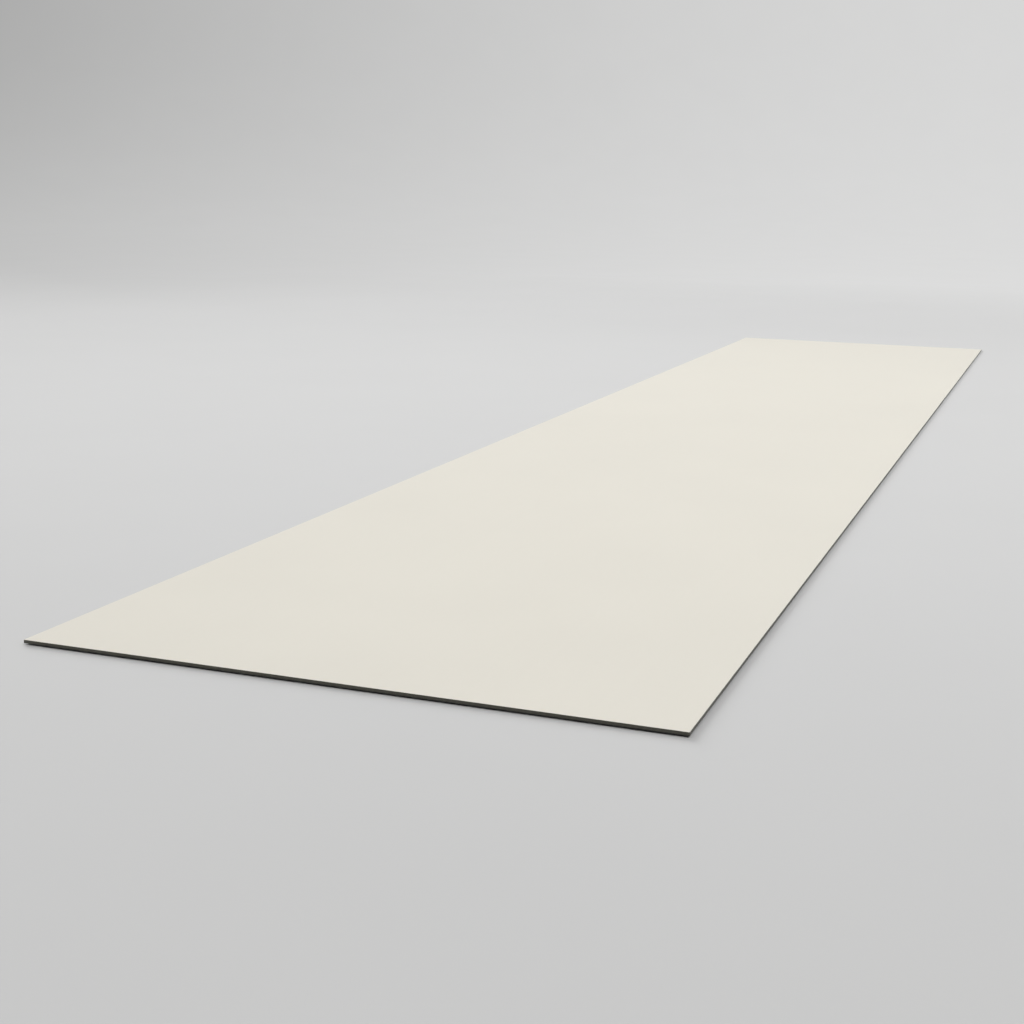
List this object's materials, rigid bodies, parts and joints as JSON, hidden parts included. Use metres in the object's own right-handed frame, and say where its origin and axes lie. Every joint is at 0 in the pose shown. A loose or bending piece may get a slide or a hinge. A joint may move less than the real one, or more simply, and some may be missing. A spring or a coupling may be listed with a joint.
{
  "type": "aluminium soffit board",
  "caption": "Flat cream-faced aluminium composite board with a dark core edge, for closing the underside of roof eaves.",
  "frame": {"origin": "centre of the board's back, which lies on the floor", "axes": "+Y along the board's length, +X across its width, +Z out of its cream face"},
  "size_m": [0.6, 3, 0.003],
  "materials": {
    "cream_coat": "satin",
    "charcoal_core": "matte",
    "primed_back": "satin"
  },
  "bodies": {
    "root": {"face_skin": "cream_coat", "core": "charcoal_core", "back_skin": "primed_back"}
  },
  "joints": []
}
